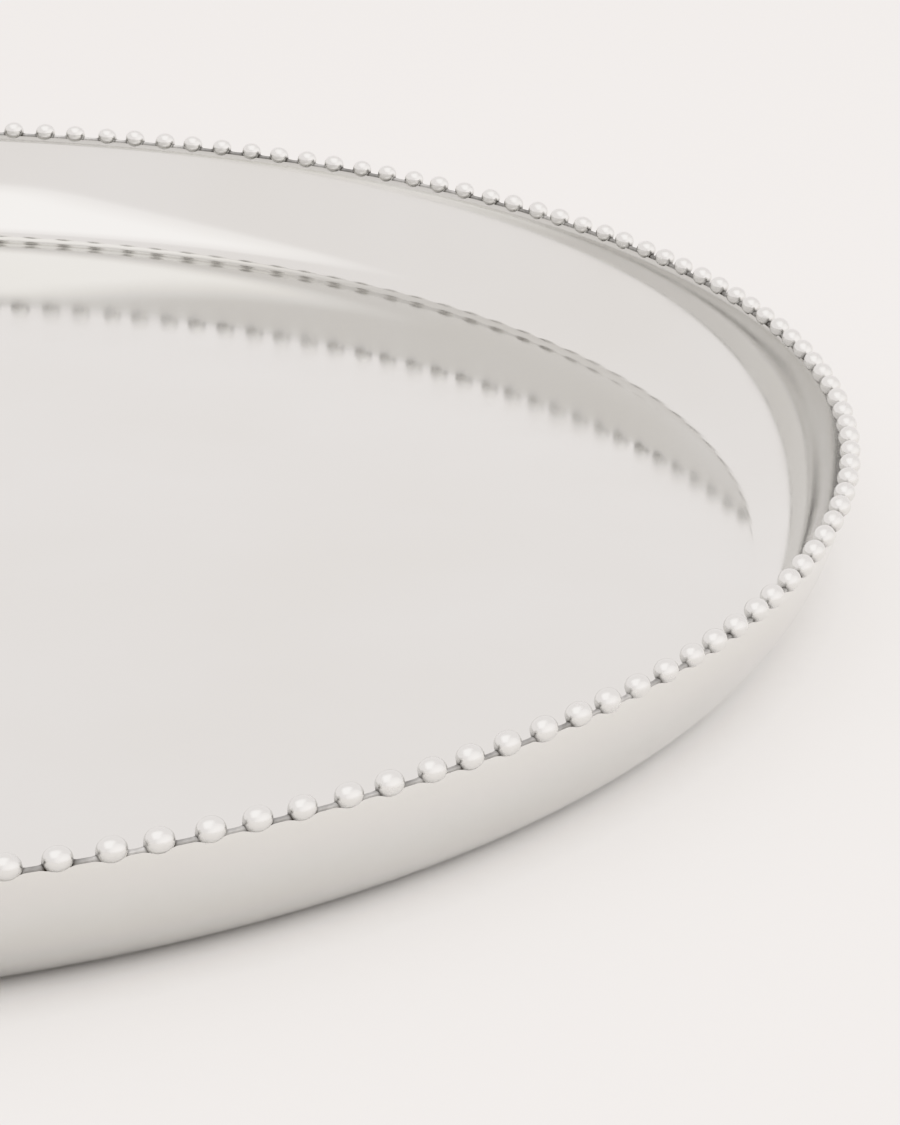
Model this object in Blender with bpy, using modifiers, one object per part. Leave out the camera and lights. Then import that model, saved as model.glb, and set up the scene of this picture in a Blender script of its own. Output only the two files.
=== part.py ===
"""Round silver salver: a deep spun tray whose rim carries a row of small separate balls.

The model is in metres with +Z up. Its origin is the middle of the underside, where the tray
stands on the table. The tray is one spun sheet. The balls are soldered on a thin edging wire
that closes the rim, and the wire is made in short equal lengths laid end to end.
"""

import math
import random

import bmesh
import bpy

# Driving dimensions, in metres.
RIM_RADIUS = 0.190  # circle that the centres of the balls lie on
SHEET = 0.0010  # thickness of the spun sheet
FLOOR_DEPTH = 0.0212  # from the centres of the balls down to the inner floor
WALL_REACH = 0.0152  # width of the curved wall seen from above
WALL_TOP_RADIUS = 0.1902  # outer radius of the wall at its top edge
BALL_RADIUS = 0.0020
BALL_HALF_HEIGHT = 0.00165  # the balls are a little flattened from above
BALL_COUNT = 174
BALLS_PER_LENGTH = 6
WIRE_RADIUS = 0.0005  # edging wire that the balls are soldered on
WIRE_DROP = 0.00105  # centre of the wire below the centres of the balls
GAP = 0.0003  # clearance between pieces that touch

# The balls were set by hand, so each stands a little off its even place.
FIRST_BALL_ANGLE = math.radians(-69.1)
SETTING_WANDER = 0.05  # largest shift, as a share of the pitch
SETTING_SEED = 7

# Fineness of the solids.
TURN_STEPS = 72
WALL_STEPS = 8
BALL_SEGMENTS = 8
BALL_RINGS = 4
WIRE_POINTS = 7

PITCH = 2 * math.pi / BALL_COUNT
BALL_HEIGHT = SHEET + FLOOR_DEPTH
WIRE_HEIGHT = BALL_HEIGHT - WIRE_DROP
WALL_HEIGHT = BALL_HEIGHT - BALL_HALF_HEIGHT - GAP
FLOOR_RADIUS = WALL_TOP_RADIUS - WALL_REACH


def clear_scene():
    for obj in list(bpy.data.objects):
        bpy.data.objects.remove(obj, do_unlink=True)


def new_collection(name, hidden=False):
    collection = bpy.data.collections.new(name)
    collection.hide_render = hidden
    bpy.context.scene.collection.children.link(collection)
    return collection


def silver(name, colour, roughness):
    material = bpy.data.materials.new(name)
    material.use_nodes = True
    shader = material.node_tree.nodes["Principled BSDF"]
    shader.inputs["Base Color"].default_value = (*colour, 1.0)
    shader.inputs["Metallic"].default_value = 1.0
    shader.inputs["Roughness"].default_value = roughness
    return material


def wall_profile():
    """Outer face in the XZ plane, from the top edge down the wall and along the base to the axis.

    The wall is a quarter of an ellipse: upright at the rim, and level where it meets the base.
    """
    points = []
    for step in range(WALL_STEPS + 1):
        turn = 0.5 * math.pi * step / WALL_STEPS
        radius = FLOOR_RADIUS + WALL_REACH * math.cos(turn)
        points.append((radius, 0.0, WALL_HEIGHT * (1 - math.sin(turn))))
    points.append((FLOOR_RADIUS / 2, 0.0, 0.0))
    points.append((0.0, 0.0, 0.0))
    return points


def make_tray_body(collection, material):
    """The spun sheet: the outer face is turned from its profile, then thickened inwards."""
    points = wall_profile()
    mesh = bpy.data.meshes.new("tray_body")
    mesh.from_pydata(points, [(i, i + 1) for i in range(len(points) - 1)], [])
    body = bpy.data.objects.new("tray_body", mesh)
    collection.objects.link(body)

    turn = body.modifiers.new("turn", "SCREW")
    turn.steps = TURN_STEPS
    turn.render_steps = TURN_STEPS
    turn.use_merge_vertices = True
    turn.merge_threshold = 0.00001
    turn.use_smooth_shade = True

    sheet = body.modifiers.new("sheet", "SOLIDIFY")
    sheet.thickness = SHEET
    sheet.offset = -1.0
    sheet.use_even_offset = True

    mesh.materials.append(material)
    return body


def ball_angles():
    """Angle of each ball round the rim, with the small wander of hand setting."""
    wander = random.Random(SETTING_SEED)
    return [
        FIRST_BALL_ANGLE + PITCH * (k + wander.uniform(-SETTING_WANDER, SETTING_WANDER))
        for k in range(BALL_COUNT)
    ]


def on_rim(angle, height):
    return (RIM_RADIUS * math.cos(angle), RIM_RADIUS * math.sin(angle), height)


def mesh_from_curve(curve_object, name):
    """A closed mesh with the shape of a capped curve."""
    bpy.context.view_layer.update()
    graph = bpy.context.evaluated_depsgraph_get()
    mesh = bpy.data.meshes.new_from_object(curve_object.evaluated_get(graph))
    mesh.name = name
    solid = bmesh.new()
    solid.from_mesh(mesh)
    bmesh.ops.remove_doubles(solid, verts=solid.verts, dist=0.00001)
    bmesh.ops.recalc_face_normals(solid, faces=solid.faces)
    solid.to_mesh(mesh)
    solid.free()
    bpy.data.objects.remove(curve_object, do_unlink=True)
    return mesh


def make_wire(name, start, end, collection):
    """One length of edging wire along the rim, from angle start to angle end."""
    curve = bpy.data.curves.new(name, "CURVE")
    curve.dimensions = "3D"
    curve.bevel_depth = WIRE_RADIUS
    curve.bevel_resolution = 1
    curve.use_fill_caps = True
    spline = curve.splines.new("POLY")
    spline.points.add(WIRE_POINTS - 1)
    for step, point in enumerate(spline.points):
        angle = start + (end - start) * step / (WIRE_POINTS - 1)
        point.co = (*on_rim(angle, WIRE_HEIGHT), 1.0)
    route = bpy.data.objects.new(name + "_route", curve)
    collection.objects.link(route)
    wire = bpy.data.objects.new(name, mesh_from_curve(route, name))
    collection.objects.link(wire)
    return wire


def make_balls(name, angles, collection):
    """The balls of one length of wire, as one helper mesh of separate flattened spheres."""
    mesh = bpy.data.meshes.new(name)
    balls = bmesh.new()
    for angle in angles:
        made = bmesh.ops.create_uvsphere(
            balls, u_segments=BALL_SEGMENTS, v_segments=BALL_RINGS, radius=BALL_RADIUS
        )
        flatten = (1.0, 1.0, BALL_HALF_HEIGHT / BALL_RADIUS)
        bmesh.ops.scale(balls, verts=made["verts"], vec=flatten)
        bmesh.ops.translate(balls, verts=made["verts"], vec=on_rim(angle, BALL_HEIGHT))
    balls.to_mesh(mesh)
    balls.free()
    helper = bpy.data.objects.new(name, mesh)
    helper.hide_render = True
    helper.display_type = "WIRE"
    collection.objects.link(helper)
    return helper


def make_beaded_lengths(parts, cutters, material):
    """The edging, in equal lengths with a hairline between each and the next."""
    angles = ball_angles()
    half_gap = 0.5 * GAP / RIM_RADIUS
    for number in range(BALL_COUNT // BALLS_PER_LENGTH):
        first = number * BALLS_PER_LENGTH
        start = FIRST_BALL_ANGLE + PITCH * (first - 0.5) + half_gap
        end = start + PITCH * BALLS_PER_LENGTH - 2 * half_gap
        name = f"beaded_edging_{number + 1:02d}"
        wire = make_wire(name, start, end, parts)
        set_balls = angles[first : first + BALLS_PER_LENGTH]
        solder = wire.modifiers.new("solder", "BOOLEAN")
        solder.operation = "UNION"
        solder.object = make_balls(name + "_balls", set_balls, cutters)
        wire.data.materials.append(material)
        wire.data.shade_smooth()


def main():
    clear_scene()
    salver = new_collection("silver_salver")
    helpers = new_collection("helpers", hidden=True)
    tray_silver = silver("tray_silver", (0.81, 0.80, 0.79), 0.06)
    ball_silver = silver("ball_silver", (0.81, 0.80, 0.79), 0.10)
    make_tray_body(salver, tray_silver)
    make_beaded_lengths(salver, helpers, ball_silver)


main()
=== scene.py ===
"""The looks of the round silver salver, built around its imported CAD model.

Lengths are in metres, in the frame of the CAD model: +Z up, and the origin in the middle of the
underside. The tray is turned again at a fine pitch, with a slight lean in its wall, and each length
of beaded edging gets its six soldered balls, with the solder drawn up round the foot of each.
"""

import math
import random

import bmesh
import bpy
from mathutils import Matrix, Vector


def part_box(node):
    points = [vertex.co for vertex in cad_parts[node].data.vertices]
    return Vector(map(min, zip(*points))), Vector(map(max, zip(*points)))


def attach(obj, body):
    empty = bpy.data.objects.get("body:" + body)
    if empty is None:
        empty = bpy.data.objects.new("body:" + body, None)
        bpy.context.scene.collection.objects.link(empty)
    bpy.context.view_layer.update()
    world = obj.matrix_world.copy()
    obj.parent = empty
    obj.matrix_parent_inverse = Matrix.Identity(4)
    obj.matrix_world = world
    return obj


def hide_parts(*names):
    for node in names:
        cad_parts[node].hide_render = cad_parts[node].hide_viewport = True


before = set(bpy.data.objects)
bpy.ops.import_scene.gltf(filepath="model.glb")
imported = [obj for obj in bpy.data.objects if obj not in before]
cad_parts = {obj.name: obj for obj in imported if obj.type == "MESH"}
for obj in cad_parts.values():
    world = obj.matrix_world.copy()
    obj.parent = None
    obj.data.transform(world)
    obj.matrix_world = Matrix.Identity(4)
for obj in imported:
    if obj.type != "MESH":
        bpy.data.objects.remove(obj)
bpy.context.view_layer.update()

# Design dimensions. The CAD model has no lean in its wall, balls as deep as they are long, and a
# stouter wire a little lower down.
RIM_RADIUS = 0.190  # circle that the centres of the balls lie on
SHEET = 0.0010  # thickness of the spun sheet
WALL_REACH = 0.0152  # width of the curved wall seen from above
WALL_LEAN = 0.0026  # part of the reach that comes from the steady outward lean of the wall
BALL_RADIUS = 0.0020  # along the rim
BALL_HALF_HEIGHT = 0.00165  # the balls are a little flattened from above and from the side
BALL_HALF_DEPTH = 0.0017
BALL_COUNT = 174
BALLS_PER_LENGTH = 6
WIRE_RADIUS = 0.00036
WIRE_BURIED = 0.3  # how far the wall's top edge stops below the wire's middle, as a share of its radius
WIRE_DROP = 0.00092  # centre of the edging wire below the centres of the balls
FIRST_BALL_ANGLE = math.radians(-69.1)
SETTING_WANDER = 0.05  # largest shift of a ball from its even place, as a share of the pitch
SETTING_SEED = 7
SHAPE_SEED = 23
PITCH = 2 * math.pi / BALL_COUNT

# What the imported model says.
tray_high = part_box("tray_body")[1]
BALL_HEIGHT = max(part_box(n)[1].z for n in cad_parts) - BALL_HALF_HEIGHT
WIRE_HEIGHT = BALL_HEIGHT - WIRE_DROP
WALL_HEIGHT = tray_high.z
WALL_TOP_RADIUS = tray_high.x
FLOOR_RADIUS = WALL_TOP_RADIUS - WALL_REACH

# Fineness of the meshes.
TURN_STEPS = 360
WALL_STEPS = 40
BALL_SEGMENTS = 32
BALL_RINGS = 20
WIRE_SIDES = 12
STOPS_PER_BALL = 8  # even rings of wire for each ball, besides those close to it


# ---------------------------------------------------------------- node helpers


def new_material(name):
    material = bpy.data.materials.new(name)
    material.use_nodes = True
    nodes = material.node_tree.nodes
    return material, nodes, material.node_tree.links, nodes["Principled BSDF"]


def math_node(nodes, links, operation, first, second=None):
    node = nodes.new("ShaderNodeMath")
    node.operation = operation
    for socket, value in zip(node.inputs, (first, second)):
        if isinstance(value, bpy.types.NodeSocket):
            links.new(value, socket)
        elif value is not None:
            socket.default_value = value
    return node.outputs[0]


def noise_node(nodes, links, vector, scale, detail=2.0):
    node = nodes.new("ShaderNodeTexNoise")
    node.inputs["Scale"].default_value = scale
    node.inputs["Detail"].default_value = detail
    links.new(vector, node.inputs["Vector"])
    return node.outputs["Fac"]


def map_range(nodes, links, value, low, high, to_low, to_high):
    node = nodes.new("ShaderNodeMapRange")
    links.new(value, node.inputs["Value"])
    limits = ("From Min", low), ("From Max", high), ("To Min", to_low), ("To Max", to_high)
    for name, limit in limits:
        node.inputs[name].default_value = limit
    return node.outputs["Result"]


def mix_colour(nodes, links, factor, first, second):
    node = nodes.new("ShaderNodeMix")
    node.data_type = "RGBA"
    links.new(factor, node.inputs["Factor"])
    for name, value in (("A", first), ("B", second)):
        socket = [s for s in node.inputs if s.name == name and s.type == "RGBA"][0]
        if isinstance(value, bpy.types.NodeSocket):
            links.new(value, socket)
        else:
            socket.default_value = (*value, 1.0)
    return [s for s in node.outputs if s.type == "RGBA"][0]


def bump(nodes, links, height, strength, distance, normal=None):
    node = nodes.new("ShaderNodeBump")
    node.inputs["Strength"].default_value = strength
    node.inputs["Distance"].default_value = distance
    links.new(height, node.inputs["Height"])
    if normal is not None:
        links.new(normal, node.inputs["Normal"])
    return node.outputs["Normal"]


# ---------------------------------------------------------------- materials

SILVER = (0.738, 0.735, 0.72)
SILVER_WARM = (0.718, 0.713, 0.692)
# Dark grey painted as shade: in the creases where the balls meet the wire, on the balls' undersides and
# along the bare wire.
PAINTED_SHADE_GREY = (0.05, 0.045, 0.04)
WIRE_SHADE = 0.5  # share of painted shade grey along the bare wire
PATCH_TURN = 0.6  # share of painted shade at which its random patches show most
PAPER_DARK = (0.712, 0.7, 0.687)
PAPER_LIGHT = (0.727, 0.715, 0.702)


def make_tray_silver():
    """Mirror-polished spun silver: faint turning rings and a soft cloud of handling."""
    material, nodes, links, shader = new_material("tray_silver")
    shader.inputs["Metallic"].default_value = 1.0
    place = nodes.new("ShaderNodeTexCoord").outputs["Object"]
    cloud = noise_node(nodes, links, place, 14.0, 4.0)
    warmth = map_range(nodes, links, cloud, 0.35, 0.7, 0, 1)
    colour = mix_colour(nodes, links, warmth, SILVER, SILVER_WARM)
    links.new(colour, shader.inputs["Base Color"])

    haze = noise_node(nodes, links, place, 60.0, 5.0)
    rough = map_range(nodes, links, haze, 0.3, 0.75, 0.07, 0.13)
    links.new(rough, shader.inputs["Roughness"])

    split = nodes.new("ShaderNodeSeparateXYZ")
    links.new(place, split.inputs[0])
    x2 = math_node(nodes, links, "MULTIPLY", split.outputs["X"], split.outputs["X"])
    y2 = math_node(nodes, links, "MULTIPLY", split.outputs["Y"], split.outputs["Y"])
    radius = math_node(nodes, links, "SQRT", math_node(nodes, links, "ADD", x2, y2))
    ring_place = nodes.new("ShaderNodeCombineXYZ")
    links.new(radius, ring_place.inputs["X"])
    links.new(split.outputs["Z"], ring_place.inputs["Y"])
    rings = noise_node(nodes, links, ring_place.outputs[0], 1400.0, 3.0)
    swell = noise_node(nodes, links, place, 22.0, 1.0)
    normal = bump(nodes, links, rings, 0.02, 0.00002)
    normal = bump(nodes, links, swell, 0.03, 0.0006, normal)
    links.new(normal, shader.inputs["Normal"])
    return material


def make_ball_silver():
    """Polished balls, with painted shade and rougher metal in the creases where the solder was drawn up
    round them, and painted shade on their undersides and along the bare wire.
    """
    material, nodes, links, shader = new_material("ball_silver")
    shader.inputs["Metallic"].default_value = 1.0
    place = nodes.new("ShaderNodeTexCoord").outputs["Object"]
    painted_shade = nodes.new("ShaderNodeAttribute")
    painted_shade.attribute_name = "painted_shade"
    grain = noise_node(nodes, links, place, 900.0, 4.0)
    patches = noise_node(nodes, links, place, 90.0, 3.0)
    shade_patches = map_range(nodes, links, patches, 0.38, 0.6, -0.45, 0.25)
    speckle = map_range(nodes, links, grain, 0.3, 0.7, 0.8, 1.1)
    near = math_node(nodes, links, "MULTIPLY", painted_shade.outputs["Fac"], speckle)
    # Painted shade along the bare wire is lighter in some places and darker in others; close to a ball
    # the painted crease shade is always dark.
    bare = math_node(nodes, links, "PINGPONG", painted_shade.outputs["Fac"], PATCH_TURN)
    near = math_node(nodes, links, "ADD", near, math_node(nodes, links, "MULTIPLY", bare, shade_patches))
    greyness = map_range(nodes, links, near, 0, 1, 0, 1)
    colour = mix_colour(nodes, links, greyness, SILVER, PAINTED_SHADE_GREY)
    links.new(colour, shader.inputs["Base Color"])
    haze = noise_node(nodes, links, place, 300.0, 3.0)
    polish = map_range(nodes, links, haze, 0.3, 0.75, 0.2, 0.3)
    rough = math_node(nodes, links, "ADD", polish, math_node(nodes, links, "MULTIPLY", near, 0.25))
    links.new(rough, shader.inputs["Roughness"])
    links.new(bump(nodes, links, grain, 0.05, 0.00004), shader.inputs["Normal"])
    return material


def make_paper():
    """Plain pale paper with a faint fibre, for the floor."""
    material, nodes, links, shader = new_material("pale_paper")
    place = nodes.new("ShaderNodeTexCoord").outputs["Object"]
    fibre = noise_node(nodes, links, place, 400.0, 4.0)
    colour = mix_colour(nodes, links, fibre, PAPER_DARK, PAPER_LIGHT)
    links.new(colour, shader.inputs["Base Color"])
    shader.inputs["Roughness"].default_value = 0.9
    shader.inputs["Specular IOR Level"].default_value = 0.2
    return material


# ---------------------------------------------------------------- tray


def sheet_section():
    """Section of the spun sheet, from the axis out along the underside, up and back inside."""
    outer, inner = [(0.0, 0.0)], []
    curve = WALL_REACH - WALL_LEAN
    slope = WALL_LEAN / WALL_HEIGHT
    for step in range(WALL_STEPS + 1):
        turn = 0.5 * math.pi * (1 - step / WALL_STEPS)
        rise = WALL_HEIGHT * math.cos(turn)
        along = Vector((-curve * math.sin(turn) - slope * rise, -rise)).normalized()
        height = WALL_HEIGHT * (1 - math.sin(turn))
        radius = FLOOR_RADIUS + curve * math.cos(turn) + slope * height
        outer.append((radius, height))
        inner.append((radius + along.y * SHEET, height - along.x * SHEET))
    top = WIRE_HEIGHT - WIRE_BURIED * WIRE_RADIUS
    outer.append((WALL_TOP_RADIUS, top))
    inner.append((WALL_TOP_RADIUS - SHEET, top))
    return outer + inner[::-1] + [(0.0, SHEET)]


def make_tray(material):
    """The sheet's section turned a full circle, as one closed mesh."""
    points = sheet_section()
    mesh = bpy.data.meshes.new("salver_tray")
    mesh.from_pydata(
        [(r, 0.0, z) for r, z in points], [(i, i + 1) for i in range(len(points) - 1)], []
    )
    tray = bpy.data.objects.new("salver_tray", mesh)
    bpy.context.scene.collection.objects.link(tray)
    turn = tray.modifiers.new("turn", "SCREW")
    turn.steps = TURN_STEPS
    turn.render_steps = TURN_STEPS
    turn.use_merge_vertices = True
    turn.merge_threshold = 0.00001
    turn.use_normal_calculate = True
    bpy.context.view_layer.update()
    graph = bpy.context.evaluated_depsgraph_get()
    turned = bpy.data.meshes.new_from_object(tray.evaluated_get(graph))
    tray.modifiers.clear()
    tray.data = turned
    bpy.data.meshes.remove(mesh)
    solid = bmesh.new()
    solid.from_mesh(turned)
    bmesh.ops.recalc_face_normals(solid, faces=solid.faces)
    solid.to_mesh(turned)
    solid.free()
    turned.shade_smooth()
    turned.set_sharp_from_angle(angle=math.radians(50))
    turned.materials.append(material)
    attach(tray, "root")
    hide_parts("tray_body")


# ---------------------------------------------------------------- balls and their edge


def ball_angles():
    """Angle of each ball round the rim, with the small wander of hand setting."""
    wander = random.Random(SETTING_SEED)
    return [
        FIRST_BALL_ANGLE + PITCH * (k + wander.uniform(-SETTING_WANDER, SETTING_WANDER))
        for k in range(BALL_COUNT)
    ]


FILLET = 0.0009  # how far the solder is drawn out from the crease
FILLET_LIFT = 0.2  # height of the solder in the crease, as a share of that
BALL_LEAN = 0.12  # largest lean of a ball from upright, in radians
DENT_DEPTH = 0.04  # share of the radius
DENT_EDGE = 0.6  # cosine of the angle from a dent's middle to its edge
UNDERSIDE_START, UNDERSIDE_SPAN = 0.72, 0.2  # where painted shade, with rougher metal, on the underside begins and fades in
# Strongest painted shade on a ball's underside, as a share of the dark grey.
UNDERSIDE_SHADE = 0.7
RINGS_NEAR_BALL = (0.8, 0.9, 1.0, 1.1, 1.25, 1.45)  # extra rings of wire, in ball radii from its middle


def drawn_up(distance):
    """Lift of a surface by solder, and nearness from 0 to 1, at this distance from the other one."""
    near = max(0.0, 1 - max(0.0, distance) / FILLET)
    return FILLET_LIFT * FILLET * near * near, near


def add_ball(mesh, painted_shade, angle, rng):
    """One ball: nearly round, a little flattened, with solder drawn up at its foot."""
    made = bmesh.ops.create_uvsphere(
        mesh, u_segments=BALL_SEGMENTS, v_segments=BALL_RINGS, radius=BALL_RADIUS
    )
    size = rng.uniform(1.02, 1.08)
    squash = BALL_HALF_HEIGHT / BALL_RADIUS * rng.uniform(0.97, 1.02)
    lean = Matrix.Rotation(rng.uniform(-BALL_LEAN, BALL_LEAN), 4, "Y")
    lean = lean @ Matrix.Rotation(rng.uniform(-BALL_LEAN, BALL_LEAN), 4, "X")
    dent = Vector((rng.uniform(-1, 1), rng.uniform(-1, 1), rng.uniform(-0.3, 1))).normalized()
    turn = Matrix.Rotation(angle, 4, "Z")
    for vert in made["verts"]:
        place = vert.co.copy()
        along = place.normalized()
        flat = max(0.0, along.dot(dent) - DENT_EDGE)
        place *= size * (1 - DENT_DEPTH * flat)
        place.z *= squash
        place.y *= BALL_HALF_DEPTH / BALL_RADIUS
        place = lean @ place
        from_wire = Vector((0, place.y, place.z + WIRE_DROP)).length - WIRE_RADIUS
        lift, near = drawn_up(from_wire)
        place += along * lift
        underside = min(1.0, max(0.0, (-along.z - UNDERSIDE_START) / UNDERSIDE_SPAN))
        # Painted shade: the larger of the crease shade next to the wire and the shade on the underside.
        vert[painted_shade] = max(near * near, UNDERSIDE_SHADE * underside)
        # The ball's own x is bent to run along the rim, and its y points outwards from the axis.
        outward = Vector((RIM_RADIUS + place.y, 0, BALL_HEIGHT + place.z))
        vert.co = Matrix.Rotation(place.x / RIM_RADIUS, 4, "Z") @ (turn @ outward)


def add_wire(mesh, painted_shade, start, end, centres):
    """The edging wire of one length, thickened by solder near each ball."""
    stops = STOPS_PER_BALL * BALLS_PER_LENGTH
    rings = []
    angles = [start + (end - start) * k / stops for k in range(stops + 1)]
    for centre in centres:
        for reach in RINGS_NEAR_BALL:
            away = reach * BALL_RADIUS / RIM_RADIUS
            angles += [centre - away, centre + away]
    for angle in sorted(a for a in angles if start <= a <= end):
        ring = []
        nearest = min(centres, key=lambda c: abs(c - angle))
        for side in range(WIRE_SIDES):
            turn = 2 * math.pi * side / WIRE_SIDES
            across = math.cos(turn) * WIRE_RADIUS
            high = math.sin(turn) * WIRE_RADIUS - WIRE_DROP
            place = Vector(((angle - nearest) * RIM_RADIUS, across, high))
            lift, near = drawn_up(place.length - BALL_RADIUS)
            reach = WIRE_RADIUS + lift
            outward = RIM_RADIUS + math.cos(turn) * reach
            height = WIRE_HEIGHT + math.sin(turn) * reach
            vert = mesh.verts.new((outward * math.cos(angle), outward * math.sin(angle), height))
            # Painted shade along the wire, full where it meets a ball.
            vert[painted_shade] = max(near, WIRE_SHADE)
            ring.append(vert)
        rings.append(ring)
    for first, second in zip(rings, rings[1:]):
        for k in range(WIRE_SIDES):
            j = (k + 1) % WIRE_SIDES
            mesh.faces.new((first[k], first[j], second[j], second[k]))
    mesh.faces.new(rings[0][::-1])
    mesh.faces.new(rings[-1])


def make_edging(material):
    """The beaded edging, one piece for each length in the CAD model."""
    rng = random.Random(SHAPE_SEED)
    angles = ball_angles()
    for number in range(BALL_COUNT // BALLS_PER_LENGTH):
        first = number * BALLS_PER_LENGTH
        start = FIRST_BALL_ANGLE + PITCH * (first - 0.5)
        end = start + PITCH * BALLS_PER_LENGTH
        centres = angles[first : first + BALLS_PER_LENGTH]
        solid = bmesh.new()
        painted_shade = solid.verts.layers.float.new("painted_shade")
        for angle in centres:
            add_ball(solid, painted_shade, angle, rng)
        add_wire(solid, painted_shade, start, end, centres)
        bmesh.ops.recalc_face_normals(solid, faces=solid.faces)
        name = f"rim_balls_{number + 1:02d}"
        mesh = bpy.data.meshes.new(name)
        solid.to_mesh(mesh)
        solid.free()
        mesh.shade_smooth()
        mesh.set_sharp_from_angle(angle=math.radians(60))
        mesh.materials.append(material)
        piece = bpy.data.objects.new(name, mesh)
        bpy.context.scene.collection.objects.link(piece)
        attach(piece, "root")
        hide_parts(f"beaded_edging_{number + 1:02d}")


# ---------------------------------------------------------------- stage, light and camera


FLOOR_HALF_WIDTH = 12.0


def make_floor(material):
    """The pale ground that the tray stands on."""
    mesh = bpy.data.meshes.new("floor")
    flat = bmesh.new()
    bmesh.ops.create_grid(flat, x_segments=1, y_segments=1, size=FLOOR_HALF_WIDTH)
    flat.to_mesh(mesh)
    flat.free()
    mesh.materials.append(material)
    floor = bpy.data.objects.new("floor", mesh)
    bpy.context.scene.collection.objects.link(floor)


ROOM = (1.08, 1.043, 1.035)
BRIGHT_SIDE = (1.51, 1.465, 1.45)
CEILING_GLOW = 0.5
CEILING_LOW = 0.02  # smallest upward share, so that level directions stay finite
FILL_RADIANCE = 3.4


def make_world():
    """A white room: brighter in front on the right, with a large soft glow on the ceiling."""
    world = bpy.data.worlds.new("studio")
    bpy.context.scene.world = world
    world.use_nodes = True
    nodes, links = world.node_tree.nodes, world.node_tree.links
    direction = nodes.new("ShaderNodeSeparateXYZ")
    links.new(nodes.new("ShaderNodeTexCoord").outputs["Generated"], direction.inputs[0])
    east, north, up = direction.outputs
    side = math_node(nodes, links, "MULTIPLY", east, 0.8)
    side = math_node(nodes, links, "SUBTRACT", side, math_node(nodes, links, "MULTIPLY", north, 0.6))
    side = map_range(nodes, links, side, 0.45, 0.95, 0, 1)
    walls = mix_colour(nodes, links, side, ROOM, BRIGHT_SIDE)
    # Where a direction meets the ceiling, as shares of the ceiling's height. The glow is a soft-edged
    # rectangle there.
    climb = math_node(nodes, links, "MAXIMUM", up, CEILING_LOW)
    across = math_node(nodes, links, "DIVIDE", east, climb)
    ahead = math_node(nodes, links, "DIVIDE", north, climb)
    glow = map_range(nodes, links, across, -0.8, -0.5, 0, 1)
    for place, start, end in ((across, 0.5, 0.2), (ahead, -1.45, -1.0), (ahead, 0.35, 0.05)):
        edge = map_range(nodes, links, place, start, end, 0, 1)
        glow = math_node(nodes, links, "MULTIPLY", glow, edge)
    glow = math_node(nodes, links, "MULTIPLY", glow, CEILING_GLOW)
    lit = nodes.new("ShaderNodeVectorMath")
    lit.operation = "ADD"
    links.new(walls, lit.inputs[0])
    links.new(glow, lit.inputs[1])
    links.new(lit.outputs["Vector"], nodes["Background"].inputs["Color"])


def make_fill():
    """A broad softbox high on the right, which mirrors don't show."""
    lamp = bpy.data.lights.new("fill", "AREA")
    lamp.shape = "RECTANGLE"
    lamp.size = 1.6
    lamp.size_y = 1.2
    lamp.energy = FILL_RADIANCE * math.pi * lamp.size * lamp.size_y
    fill = bpy.data.objects.new("fill", lamp)
    fill.location = (1.6, -0.3, 1.0)
    fill.visible_glossy = False
    fill.rotation_euler = fill.location.to_track_quat("Z", "Y").to_euler()
    bpy.context.scene.collection.objects.link(fill)


CAMERA_LENS = 116.6  # millimetres, on a 36 mm wide film
CAMERA_PLACE = (0.6468, -3.0999, 1.0584)  # in rim radii, from the middle of the circle of balls
CAMERA_PITCH = 21.19  # degrees down
CAMERA_ROLL = 0.69  # degrees


def make_camera():
    """The view is from a little right of the middle, 21 degrees down on the near right of the rim."""
    lens = bpy.data.cameras.new("camera")
    lens.sensor_width = 36.0
    lens.lens = CAMERA_LENS
    lens.clip_start = 0.01
    lens.clip_end = 100.0
    camera = bpy.data.objects.new("camera", lens)
    right, back, above = (share * RIM_RADIUS for share in CAMERA_PLACE)
    camera.location = (right, back, BALL_HEIGHT + above)
    tilt = Matrix.Rotation(math.radians(90 - CAMERA_PITCH), 4, "X")
    roll = Matrix.Rotation(math.radians(CAMERA_ROLL), 4, "Z")
    camera.rotation_euler = (tilt @ roll).to_euler()
    bpy.context.scene.collection.objects.link(camera)
    bpy.context.scene.camera = camera


make_camera()
make_world()
make_fill()
make_floor(make_paper())
make_tray(make_tray_silver())
make_edging(make_ball_silver())
bpy.context.scene.view_settings.view_transform = "Khronos PBR Neutral"
